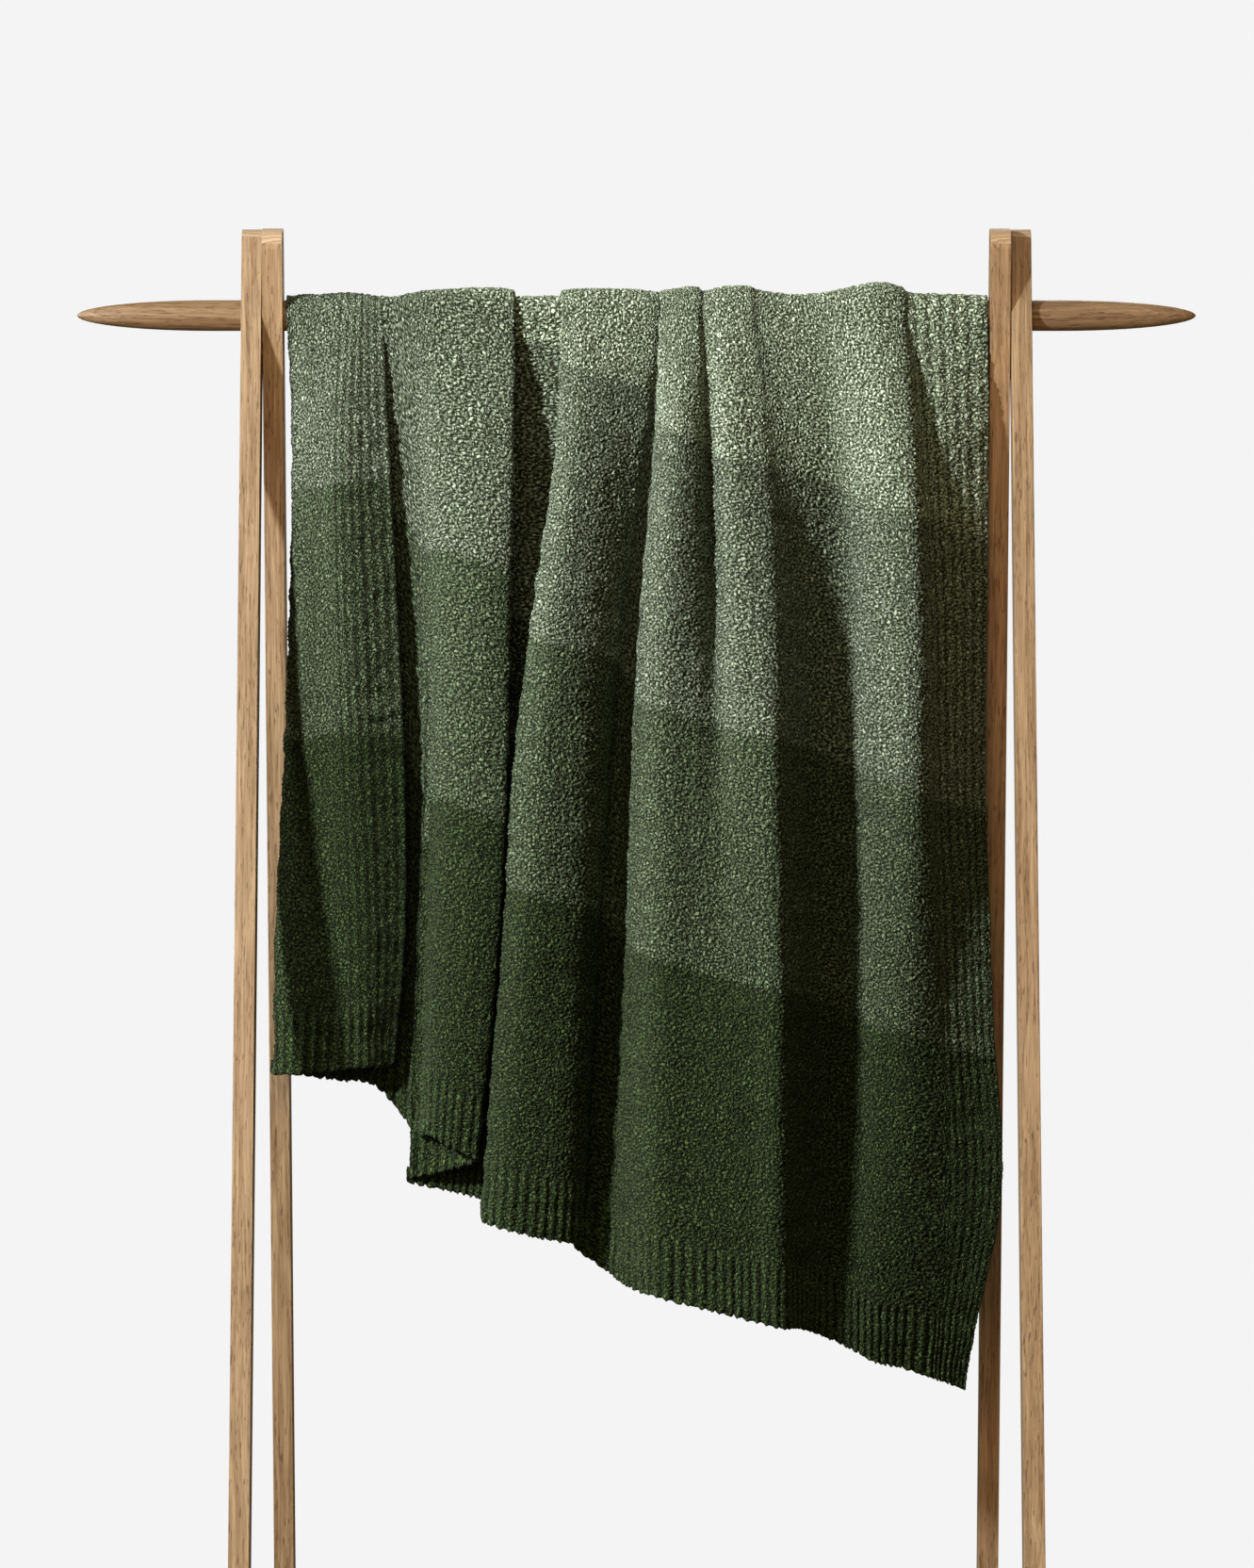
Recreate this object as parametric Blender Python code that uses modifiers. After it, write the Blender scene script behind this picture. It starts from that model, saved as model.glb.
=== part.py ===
"""A knitted throw hung over the bar of a folding oak rack.

Two ladder frames cross at a round bar and swing on it. The front frame is the outer pair of
legs, pinned to the bar; the rear frame is the inner pair, which turns on the bar until two
hidden pegs reach the ends of their grooves. Metres, +Z up, X along the bar, the front is -Y,
and the origin is on the floor under the middle of the bar.
"""

import math

import bmesh
import bpy
from mathutils import Matrix, Vector

# The bar: a round rod with long rounded ends.
BAR_DIAMETER = 0.034
BAR_OVERHANG = 0.182  # from an outer leg to the bar's tip
BAR_TAPER = 0.150
BAR_HEIGHT = 1.505  # its axis above the floor, with the rack open

# The legs: flat oak bars standing on edge, side by side in pairs.
LEG_THICKNESS = 0.0225
LEG_DEPTH = 0.050
LEG_ABOVE_BAR = 0.096
LEG_TOP_RADIUS = 0.018
LEG_ARRIS = 0.002
CLEAR_WIDTH = 0.779  # between the inner legs
PAIR_GAP = 0.001  # between an outer leg and the inner leg beside it
SPLAY = math.radians(12.0)  # each frame from upright
FOLD_CLEARANCE = 0.004  # left between the inner legs and the front rung when folded

# Washers, pegs and pins.
WASHER_RIM = 0.0045
WASHER_THICKNESS = 0.0004
BAR_PIN_DIAMETER = 0.006
BAR_PIN_COVER = 0.008
STOP_PEG_DIAMETER = 0.008
STOP_WALL = 0.0036  # wood left between the end of the groove and the leg's edge
STOP_PEG_SEAT = 0.008
STOP_GROOVE_DEPTH = 0.007

# Rungs and the floor glides.
RUNG_DIAMETER = 0.024
RUNG_HEIGHT = 0.070
TENON_DIAMETER = 0.016
TENON_LENGTH = 0.014
RUNG_PIN_DIAMETER = 0.005
GLIDE_DIAMETER = 0.018
GLIDE_THICKNESS = 0.004
GLIDE_STEM_DIAMETER = 0.005
GLIDE_STEM_LENGTH = 0.014

# The throw, as it hangs.
THROW_LENGTH = 1.520  # flat, from hem to hem
THROW_THICKNESS = 0.005
THROW_SIDE_GAP = 0.0035  # to each inner leg
THROW_BAR_GAP = 0.001
HANG_LEFT = 0.832  # from the bar's axis down to the front hem
HANG_RIGHT = 1.185
CORNER_INSET = 0.030
PLEATS = 6
PLEAT_DEPTH = 0.036

# Fits.
SEAT_GAP = 0.0003  # around every piece that is fixed in another
TURN_GAP = 0.0004  # between the bar and the legs that turn on it
ROUND = 40  # sides of a turned piece
SMALL_ROUND = 24

inner_leg_x = CLEAR_WIDTH / 2 + LEG_THICKNESS / 2
outer_leg_x = inner_leg_x + LEG_THICKNESS + PAIR_GAP
bar_length = 2 * (outer_leg_x + LEG_THICKNESS / 2 + BAR_OVERHANG)
rung_drop = (BAR_HEIGHT - RUNG_HEIGHT) / math.cos(SPLAY)
# The fold ends just before the inner legs meet the front rung.
folded_apart = math.asin((LEG_DEPTH / 2 + RUNG_DIAMETER / 2 + FOLD_CLEARANCE) / rung_drop)
fold = 2 * SPLAY - folded_apart
# The peg is as far out as the groove's open end leaves room for.
stop_room = LEG_DEPTH / 2 - STOP_WALL - STOP_PEG_DIAMETER / 2 - SEAT_GAP
stop_radius = stop_room / math.sin(2 * SPLAY)

for old in list(bpy.data.objects):
    bpy.data.objects.remove(old, do_unlink=True)

parts = bpy.data.collections.new("throw_on_folding_rack")
cutters = bpy.data.collections.new("cutters")
bpy.context.scene.collection.children.link(parts)
bpy.context.scene.collection.children.link(cutters)


def material(name, colour, roughness, metallic=0.0):
    made = bpy.data.materials.new(name)
    made.use_nodes = True
    shader = made.node_tree.nodes["Principled BSDF"]
    shader.inputs["Base Color"].default_value = (*colour, 1.0)
    shader.inputs["Roughness"].default_value = roughness
    shader.inputs["Metallic"].default_value = metallic
    return made


def add(name, mesh, parent, made_of=None):
    """Puts a mesh in the scene: a part if it has a material, a cutter if not."""
    obj = bpy.data.objects.new(name, mesh)
    obj.parent = parent
    if made_of is None:
        cutters.objects.link(obj)
        obj.hide_render = True
        obj.display_type = "WIRE"
    else:
        parts.objects.link(obj)
        mesh.materials.append(made_of)
    return obj


def frame_axis(name, lean):
    """An empty on the bar's axis. Its -Z runs down the legs of its frame."""
    empty = bpy.data.objects.new(name, None)
    empty.location = (0, 0, BAR_HEIGHT)
    empty.rotation_euler = (lean, 0, 0)
    parts.objects.link(empty)
    return empty


def rod_mesh(name, radius, start, end, sides=SMALL_ROUND):
    """A plain round rod between two points."""
    start, end = Vector(start), Vector(end)
    along = end - start
    bm = bmesh.new()
    bmesh.ops.create_cone(
        bm, cap_ends=True, segments=sides, radius1=radius, radius2=radius, depth=along.length
    )
    turn = Vector((0, 0, 1)).rotation_difference(along).to_matrix()
    bmesh.ops.rotate(bm, cent=(0, 0, 0), matrix=turn, verts=bm.verts)
    bmesh.ops.translate(bm, vec=(start + end) / 2, verts=bm.verts)
    mesh = bpy.data.meshes.new(name)
    bm.to_mesh(mesh)
    bm.free()
    return mesh


def smooth(obj):
    obj.data.shade_smooth()
    obj.data.set_sharp_from_angle(angle=math.radians(35))


def rod(name, radius, start, end, parent, made_of):
    obj = add(name, rod_mesh(name, radius, start, end), parent, made_of)
    smooth(obj)
    return obj


def cut(obj, name, radius, start, end, parent, sides=SMALL_ROUND):
    """Drills a round hole along a line given in the parent's space."""
    cutter = add(f"{name}_cutter", rod_mesh(name, radius, start, end, sides), parent)
    subtract(obj, cutter)


def subtract(obj, cutter):
    hole = obj.modifiers.new(cutter.name, "BOOLEAN")
    hole.operation = "DIFFERENCE"
    hole.solver = "EXACT"
    hole.object = cutter


def turned(name, profile, parent, made_of, sides=ROUND):
    """A piece turned about its own Z. The profile is (radius, height), from top to bottom."""
    mesh = bpy.data.meshes.new(name)
    mesh.from_pydata(
        [(radius, 0, height) for radius, height in profile],
        [(i, i + 1) for i in range(len(profile) - 1)],
        [],
    )
    obj = add(name, mesh, parent, made_of)
    screw = obj.modifiers.new("turn", "SCREW")
    screw.axis = "Z"
    screw.steps = sides
    screw.render_steps = sides
    screw.use_merge_vertices = True
    screw.merge_threshold = 0.00001
    screw.use_smooth_shade = True
    return obj


def plate_mesh(name, outline, thickness):
    """A plate with a (y, z) outline, its thickness centred on x = 0."""
    curve = bpy.data.curves.new(name, "CURVE")
    curve.dimensions = "2D"
    curve.fill_mode = "BOTH"
    curve.extrude = thickness / 2
    spline = curve.splines.new("POLY")
    spline.points.add(len(outline) - 1)
    for point, (y, z) in zip(spline.points, outline):
        point.co = (y, z, 0, 1)
    spline.use_cyclic_u = True
    drawn = bpy.data.objects.new(name, curve)
    cutters.objects.link(drawn)
    graph = bpy.context.evaluated_depsgraph_get()
    mesh = bpy.data.meshes.new_from_object(drawn.evaluated_get(graph))
    bpy.data.objects.remove(drawn)
    bm = bmesh.new()
    bm.from_mesh(mesh)
    bmesh.ops.remove_doubles(bm, verts=bm.verts, dist=0.000001)
    stand = Matrix(((0, 0, 1), (1, 0, 0), (0, 1, 0)))
    bmesh.ops.transform(bm, matrix=stand.to_4x4(), verts=bm.verts)
    bmesh.ops.recalc_face_normals(bm, faces=bm.faces)
    bm.to_mesh(mesh)
    bm.free()
    return mesh


def arc(centre, radius, start, end, steps):
    """Points on an arc, angles in radians from +y towards +z."""
    turns = [start + (end - start) * i / steps for i in range(steps + 1)]
    return [
        (centre[0] + radius * math.cos(a), centre[1] + radius * math.sin(a)) for a in turns
    ]


def leg_outline(lean):
    """A leg seen from its side: rounded above, cut level with the floor below."""
    half = LEG_DEPTH / 2
    inset = half - LEG_TOP_RADIUS
    shoulder = LEG_ABOVE_BAR - LEG_TOP_RADIUS
    drop = BAR_HEIGHT - GLIDE_THICKNESS
    foot = [
        (y, (-drop - y * math.sin(lean)) / math.cos(lean)) for y in (-half, half)
    ]
    top = arc((inset, shoulder), LEG_TOP_RADIUS, 0, math.pi / 2, 5)
    top += arc((-inset, shoulder), LEG_TOP_RADIUS, math.pi / 2, math.pi, 5)
    return foot + top


def leg(name, x, lean, bore, axis, made_of):
    """A leg with eased edges and the hole for the bar."""
    obj = add(name, plate_mesh(name, leg_outline(lean), LEG_THICKNESS), axis, made_of)
    obj.location = (x, 0, 0)
    ease = obj.modifiers.new("arris", "BEVEL")
    ease.width = LEG_ARRIS
    ease.segments = 2
    ease.limit_method = "ANGLE"
    ease.angle_limit = math.radians(40)
    reach = LEG_THICKNESS
    cut(obj, f"{name}_bar_hole", bore, (x - reach, 0, 0), (x + reach, 0, 0), axis, ROUND)
    smooth(obj)
    return obj


def glide(name, obj, x, lean):
    """A round glide under a leg, with a stem driven straight up into it."""
    y = BAR_HEIGHT * math.tan(lean)
    stem, disc = GLIDE_STEM_DIAMETER / 2, GLIDE_DIAMETER / 2
    top = GLIDE_THICKNESS - SEAT_GAP
    edge = 0.0008
    profile = [
        (0, top + GLIDE_STEM_LENGTH),
        (stem, top + GLIDE_STEM_LENGTH),
        (stem, top),
        (disc, top),
        (disc, edge),
        (disc - edge, 0),
        (0, 0),
    ]
    made = turned(name, profile, None, glide_plastic, SMALL_ROUND)
    made.location = (x, y, 0)
    hole = rod_mesh(
        name,
        stem + SEAT_GAP,
        (x, y, 0),
        (x, y, top + GLIDE_STEM_LENGTH + SEAT_GAP),
    )
    subtract(obj, add(f"{name}_hole_cutter", hole, None))


def rung(name, half_span, axis):
    """A round rung along X between two legs, with a tenon at each end."""
    drop = -rung_drop
    body, tenon = RUNG_DIAMETER / 2, TENON_DIAMETER / 2
    shoulder = half_span - SEAT_GAP
    tip = shoulder + TENON_LENGTH
    ease = 0.001
    upper = [
        (0, tip),
        (tenon - ease, tip),
        (tenon, tip - ease),
        (tenon, shoulder),
        (body - ease, shoulder),
        (body, shoulder - ease),
    ]
    profile = upper + [(radius, -height) for radius, height in reversed(upper)]
    made = turned(name, profile, axis, oak, 32)
    made.rotation_euler = (0, math.pi / 2, 0)
    made.location = (0, 0, drop)
    return made


def seat_rung(made, side, obj, inner_face, axis, pin_name):
    """Bores the leg for the rung's tenon, and pins the tenon from the leg's rear edge."""
    x0 = side * (inner_face - SEAT_GAP)
    x1 = side * (inner_face + TENON_LENGTH + SEAT_GAP)
    drop = -rung_drop
    radius = TENON_DIAMETER / 2 + SEAT_GAP
    cut(obj, f"{obj.name}_mortise", radius, (x0, 0, drop), (x1, 0, drop), axis, 32)
    x = side * (inner_face + TENON_LENGTH / 2)
    pin, clear = RUNG_PIN_DIAMETER / 2, RUNG_PIN_DIAMETER / 2 + SEAT_GAP
    near, far = LEG_DEPTH / 2, -TENON_DIAMETER / 2 - 0.006
    rod(pin_name, pin, (x, near - SEAT_GAP, drop), (x, far, drop), axis, dowel_oak)
    for piece in (obj, made):
        cut(
            piece,
            f"{pin_name}_{piece.name}",
            clear,
            (x, near + LEG_ARRIS, drop),
            (x, far - SEAT_GAP, drop),
            axis,
        )


def bar_profile():
    """Half of a long ellipse at each end, a straight rod between them."""
    radius, half = BAR_DIAMETER / 2, bar_length / 2
    steps = 12
    turns = [math.pi / 2 * i / steps for i in range(steps + 1)]
    end = [
        (radius * math.sin(a), half - BAR_TAPER + BAR_TAPER * math.cos(a)) for a in turns
    ]
    return end + [(r, -height) for r, height in reversed(end)]


def groove_outline():
    """The curved groove that the stop peg runs in, seen from the rear leg's side."""
    slack = SEAT_GAP / stop_radius
    wide = STOP_PEG_DIAMETER / 2 + SEAT_GAP
    straight_down = -math.pi / 2
    first = straight_down - 2 * SPLAY
    last = straight_down - 2 * SPLAY + fold
    first, last = first - slack, last + slack
    ends = [
        (stop_radius * math.cos(a), stop_radius * math.sin(a)) for a in (first, last)
    ]
    outer = arc((0, 0), stop_radius + wide, first, last, 8)
    inner = arc((0, 0), stop_radius - wide, last, first, 8)
    end_cap = arc(ends[1], wide, last, last + math.pi, 10)
    start_cap = arc(ends[0], wide, first + math.pi, first + 2 * math.pi, 10)
    return outer + end_cap[1:-1] + inner + start_cap[1:-1]


def smoothstep(value):
    value = min(max(value, 0.0), 1.0)
    return value * value * (3 - 2 * value)


def throw_point(across, along, rows):
    """Where a point of the cloth hangs: across from 0 (left) to 1, along a row number."""
    front_rows, over_rows, back_rows = rows
    half_width = CLEAR_WIDTH / 2 - THROW_SIDE_GAP
    x = -half_width + 2 * half_width * across
    radius = BAR_DIAMETER / 2 + THROW_BAR_GAP + THROW_THICKNESS / 2
    front = HANG_LEFT + (HANG_RIGHT - HANG_LEFT) * across
    back = THROW_LENGTH - front - math.pi * radius
    wave = 0.5 - 0.5 * math.cos(2 * math.pi * PLEATS * across)
    if along < front_rows:
        drop, side = front * (1 - along / front_rows), -1
    elif along <= front_rows + over_rows:
        turn = math.pi * (along - front_rows) / over_rows
        return Vector((x, -radius * math.cos(turn), BAR_HEIGHT + radius * math.sin(turn)))
    else:
        drop, side = back * (along - front_rows - over_rows) / back_rows, 1
    y = side * (radius + PLEAT_DEPTH * wave * smoothstep(drop / 0.25))
    if side < 0:
        x -= CORNER_INSET * across**6 * smoothstep((drop - 0.75 * front) / (0.25 * front))
    return Vector((x, y, BAR_HEIGHT - drop))


def throw():
    """One pleated cloth over the bar, its front hem sloping down to the right."""
    columns, rows = 8 * PLEATS, (12, 8, 9)
    bm = bmesh.new()
    bmesh.ops.create_grid(bm, x_segments=columns, y_segments=sum(rows), size=0.5)
    for vert in bm.verts:
        across = vert.co.x + 0.5
        along = round((vert.co.y + 0.5) * sum(rows))
        vert.co = throw_point(across, along, rows)
    bmesh.ops.recalc_face_normals(bm, faces=bm.faces)
    mesh = bpy.data.meshes.new("knit_throw")
    bm.to_mesh(mesh)
    bm.free()
    obj = add("knit_throw", mesh, None, knit)
    thicken = obj.modifiers.new("cloth", "SOLIDIFY")
    thicken.thickness = THROW_THICKNESS
    thicken.offset = 0
    thicken.use_even_offset = True
    smooth(obj)


oak = material("oak", (0.50, 0.32, 0.17), 0.55)
dowel_oak = material("dowel_oak", (0.42, 0.26, 0.13), 0.6)
washer_fibre = material("washer_fibre", (0.25, 0.17, 0.11), 0.7)
glide_plastic = material("glide_plastic", (0.10, 0.09, 0.08), 0.6)
knit = material("green_knit", (0.08, 0.10, 0.055), 0.95)

front_axis = frame_axis("front_frame_axis", -SPLAY)
rear_axis = frame_axis("rear_frame_axis", SPLAY)

bar = turned("hanging_bar", bar_profile(), front_axis, oak)
bar.rotation_euler = (0, math.pi / 2, 0)
front_rung = rung("front_rung", outer_leg_x - LEG_THICKNESS / 2, front_axis)
rear_rung = rung("rear_rung", CLEAR_WIDTH / 2, rear_axis)
groove = plate_mesh("stop_groove", groove_outline(), 2 * STOP_GROOVE_DEPTH)

bar_radius = BAR_DIAMETER / 2
washer_radius = bar_radius + WASHER_RIM

for side, label in ((-1, "left"), (1, "right")):
    outer_x, inner_x = side * outer_leg_x, side * inner_leg_x
    front_leg = leg(
        f"front_leg_{label}", outer_x, -SPLAY, bar_radius + SEAT_GAP, front_axis, oak
    )
    rear_leg = leg(
        f"rear_leg_{label}", inner_x, SPLAY, bar_radius + TURN_GAP, rear_axis, oak
    )

    # A dowel locks the bar in the outer leg, driven in from the leg's rear edge.
    near, far = LEG_DEPTH / 2, -LEG_DEPTH / 2 + BAR_PIN_COVER
    pin_name = f"bar_pin_{label}"
    rod(
        pin_name,
        BAR_PIN_DIAMETER / 2,
        (outer_x, near - SEAT_GAP, 0),
        (outer_x, far, 0),
        front_axis,
        dowel_oak,
    )
    for piece in (front_leg, bar):
        cut(
            piece,
            f"{pin_name}_{piece.name}",
            BAR_PIN_DIAMETER / 2 + SEAT_GAP,
            (outer_x, near + LEG_ARRIS, 0),
            (outer_x, far - SEAT_GAP, 0),
            front_axis,
        )

    # A washer keeps the turning legs apart.
    washer = turned(
        f"pivot_washer_{label}",
        [
            (bar_radius + TURN_GAP, WASHER_THICKNESS / 2),
            (washer_radius, WASHER_THICKNESS / 2),
            (washer_radius, -WASHER_THICKNESS / 2),
            (bar_radius + TURN_GAP, -WASHER_THICKNESS / 2),
            (bar_radius + TURN_GAP, WASHER_THICKNESS / 2),
        ],
        front_axis,
        washer_fibre,
    )
    washer.rotation_euler = (0, math.pi / 2, 0)
    washer.location = (side * (inner_leg_x + LEG_THICKNESS / 2 + PAIR_GAP / 2), 0, 0)

    # A peg in the outer leg runs in a groove in the inner one and stops the spread.
    outer_face = side * (outer_leg_x - LEG_THICKNESS / 2)
    groove_face = side * (inner_leg_x + LEG_THICKNESS / 2)
    seat_end = outer_face + side * STOP_PEG_SEAT
    peg_end = groove_face - side * (STOP_GROOVE_DEPTH - 2 * SEAT_GAP)
    rod(
        f"stop_peg_{label}",
        STOP_PEG_DIAMETER / 2,
        (seat_end, 0, -stop_radius),
        (peg_end, 0, -stop_radius),
        front_axis,
        dowel_oak,
    )
    cut(
        front_leg,
        f"stop_peg_{label}_seat",
        STOP_PEG_DIAMETER / 2 + SEAT_GAP,
        (outer_face - side * SEAT_GAP, 0, -stop_radius),
        (seat_end + side * SEAT_GAP, 0, -stop_radius),
        front_axis,
    )
    groove_cutter = add(f"stop_groove_{label}_cutter", groove.copy(), rear_axis)
    groove_cutter.location = (groove_face, 0, 0)
    subtract(rear_leg, groove_cutter)

    seat_rung(
        front_rung,
        side,
        front_leg,
        outer_leg_x - LEG_THICKNESS / 2,
        front_axis,
        f"front_rung_pin_{label}",
    )
    seat_rung(rear_rung, side, rear_leg, CLEAR_WIDTH / 2, rear_axis, f"rear_rung_pin_{label}")
    glide(f"front_glide_{label}", front_leg, outer_x, -SPLAY)
    glide(f"rear_glide_{label}", rear_leg, inner_x, SPLAY)

throw()
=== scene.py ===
import math

import bpy
import numpy as np
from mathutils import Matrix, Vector


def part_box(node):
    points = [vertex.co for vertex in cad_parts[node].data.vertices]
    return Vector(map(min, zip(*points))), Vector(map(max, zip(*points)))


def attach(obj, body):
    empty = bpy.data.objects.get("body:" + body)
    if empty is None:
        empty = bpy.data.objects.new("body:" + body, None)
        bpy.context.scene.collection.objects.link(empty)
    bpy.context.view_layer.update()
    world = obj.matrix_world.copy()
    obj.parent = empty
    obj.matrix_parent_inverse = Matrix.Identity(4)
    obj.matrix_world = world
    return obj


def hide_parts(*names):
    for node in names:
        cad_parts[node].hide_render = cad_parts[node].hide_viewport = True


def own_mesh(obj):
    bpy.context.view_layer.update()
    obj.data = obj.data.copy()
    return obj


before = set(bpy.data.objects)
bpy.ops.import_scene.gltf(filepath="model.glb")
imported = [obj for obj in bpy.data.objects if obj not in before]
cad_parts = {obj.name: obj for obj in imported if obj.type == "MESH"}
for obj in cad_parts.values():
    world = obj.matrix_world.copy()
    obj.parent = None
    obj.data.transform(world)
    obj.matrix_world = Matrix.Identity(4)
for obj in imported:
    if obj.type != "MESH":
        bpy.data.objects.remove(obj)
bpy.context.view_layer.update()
scene = bpy.context.scene

# --- Legs ---------------------------------------------------------------------------------
# Four straight oak laths, planed flat with softened edges and tops rounded front to back.
# Flat-sawn oak with open pores, oiled and satin. The outer pair leans forward, the inner back.
LEG_LEAN = math.radians(12)
OAK_PALE = (0.320, 0.232, 0.136)
OAK_MID = (0.192, 0.124, 0.062)
OAK_DARK = (0.085, 0.048, 0.021)
END_PALE = (0.37, 0.285, 0.185)
END_DARK = (0.18, 0.122, 0.066)
CUT_SOFT = 0.04  # how softly long grain goes over into end grain


def add(tree, kind, settings=(), **values):
    """A new shader node, with its own settings and the values of its sockets."""
    made = tree.nodes.new("ShaderNode" + kind)
    for name, value in dict(settings).items():
        setattr(made, name, value)
    for name, value in values.items():
        socket = made.inputs[int(name[1:]) if name[1:].isdigit() else name.replace("_", " ")]
        if isinstance(value, bpy.types.NodeSocket):
            tree.links.new(value, socket)
        else:
            socket.default_value = value
    return made


def math_node(tree, operation, first, second=0.0, third=0.0):
    """The result of one sum on numbers or on sockets."""
    made = add(tree, "Math", {"operation": operation}, i0=first, i1=second, i2=third)
    return made.outputs[0]


def blend_colours(tree, amount, low, high, mode="MIX"):
    """Colour low where amount is 0 and high where it is 1."""
    made = add(tree, "Mix", {"data_type": "RGBA", "blend_type": mode}, i0=amount, i6=low, i7=high)
    return made.outputs[2]


def spread_range(tree, value, low, high, to_low=0.0, to_high=1.0):
    """Value between low and high, spread over the new range and held at its ends."""
    made = add(tree, "MapRange", {}, i0=value, i1=low, i2=high, i3=to_low, i4=to_high)
    return made.outputs[0]


def solid_colour(rgb):
    return (*rgb, 1.0)


def new_material(name):
    """A new material, with its node tree and its shader."""
    material = bpy.data.materials.new(name)
    material.use_nodes = True
    return material, material.node_tree, material.node_tree.nodes["Principled BSDF"]


def new_group(name, inputs, outputs):
    """An empty node group with those sockets; returns its tree, its input and its output node."""
    tree = bpy.data.node_groups.new(name, "ShaderNodeTree")
    for label, kind, value in inputs:
        socket = tree.interface.new_socket(label, in_out="INPUT", socket_type="NodeSocket" + kind)
        if value is not None:
            socket.default_value = value
    for label, kind in outputs:
        tree.interface.new_socket(label, in_out="OUTPUT", socket_type="NodeSocket" + kind)
    return tree, tree.nodes.new("NodeGroupInput"), tree.nodes.new("NodeGroupOutput")


def build_long_grain():
    """Flat-sawn oak along Z, in metres: soft growth bands, fibre streaks and short open pores."""
    tree, given, result = new_group(
        "oak long grain",
        [
            ("Place", "Vector", None),
            ("Pale", "Color", solid_colour(OAK_PALE)),
            ("Middle", "Color", solid_colour(OAK_MID)),
            ("Dark", "Color", solid_colour(OAK_DARK)),
        ],
        [("Colour", "Color"), ("Roughness", "Float"), ("Height", "Float")],
    )
    place = given.outputs["Place"]
    # the grain wanders sideways a little as it runs up the lath
    slow = add(tree, "Mapping", {}, Vector=place, Scale=(9.0, 9.0, 2.2)).outputs[0]
    wander = add(tree, "TexNoise", {}, Vector=slow, Scale=1.0, Detail=2.0).outputs["Color"]
    shift = add(tree, "VectorMath", {"operation": "MULTIPLY_ADD"}, i0=wander, i1=(0.03, 0.03, 0.0), i2=place)
    bent = shift.outputs[0]

    band_place = add(tree, "Mapping", {}, Vector=bent, Scale=(210.0, 150.0, 5.0)).outputs[0]
    bands = add(tree, "TexNoise", {}, Vector=band_place, Scale=1.0, Detail=3.0, Roughness=0.6)
    fibre_place = add(tree, "Mapping", {}, Vector=bent, Scale=(700.0, 700.0, 16.0)).outputs[0]
    fibres = add(tree, "TexNoise", {}, Vector=fibre_place, Scale=1.0, Detail=2.0, Roughness=0.7)
    pore_place = add(tree, "Mapping", {}, Vector=bent, Scale=(620.0, 620.0, 55.0)).outputs[0]
    pores = add(tree, "TexNoise", {}, Vector=pore_place, Scale=1.0, Detail=1.0)
    cloudy = add(tree, "TexNoise", {}, Vector=place, Scale=7.0, Detail=1.0)

    band = spread_range(tree, bands.outputs[0], 0.38, 0.60)
    fibre = spread_range(tree, fibres.outputs[0], 0.36, 0.62)
    in_band = math_node(tree, "MULTIPLY", math_node(tree, "SUBTRACT", 1.0, band), 0.75)
    pore_limit = math_node(tree, "SUBTRACT", 0.70, math_node(tree, "MULTIPLY", in_band, 0.14))
    pore = math_node(tree, "GREATER_THAN", pores.outputs[0], pore_limit)

    colour = blend_colours(tree, band, given.outputs["Middle"], given.outputs["Pale"])
    streak = math_node(tree, "MULTIPLY", math_node(tree, "SUBTRACT", 1.0, fibre), 0.55)
    colour = blend_colours(tree, streak, colour, given.outputs["Dark"])
    tone = spread_range(tree, cloudy.outputs[0], 0.3, 0.7, 0.0, 0.30)
    colour = blend_colours(tree, tone, colour, given.outputs["Middle"])
    colour = blend_colours(tree, math_node(tree, "MULTIPLY", pore, 0.75), colour, given.outputs["Dark"])
    tree.links.new(colour, result.inputs["Colour"])

    gloss = math_node(tree, "MULTIPLY_ADD", fibre, -0.10, 0.62)
    gloss = math_node(tree, "MULTIPLY_ADD", pore, 0.2, gloss)
    tree.links.new(gloss, result.inputs["Roughness"])
    height = math_node(tree, "MULTIPLY_ADD", fibre, 0.35, math_node(tree, "MULTIPLY", band, 0.3))
    height = math_node(tree, "MULTIPLY_ADD", pore, -0.8, height)
    tree.links.new(height, result.inputs["Height"])
    return tree


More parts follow.
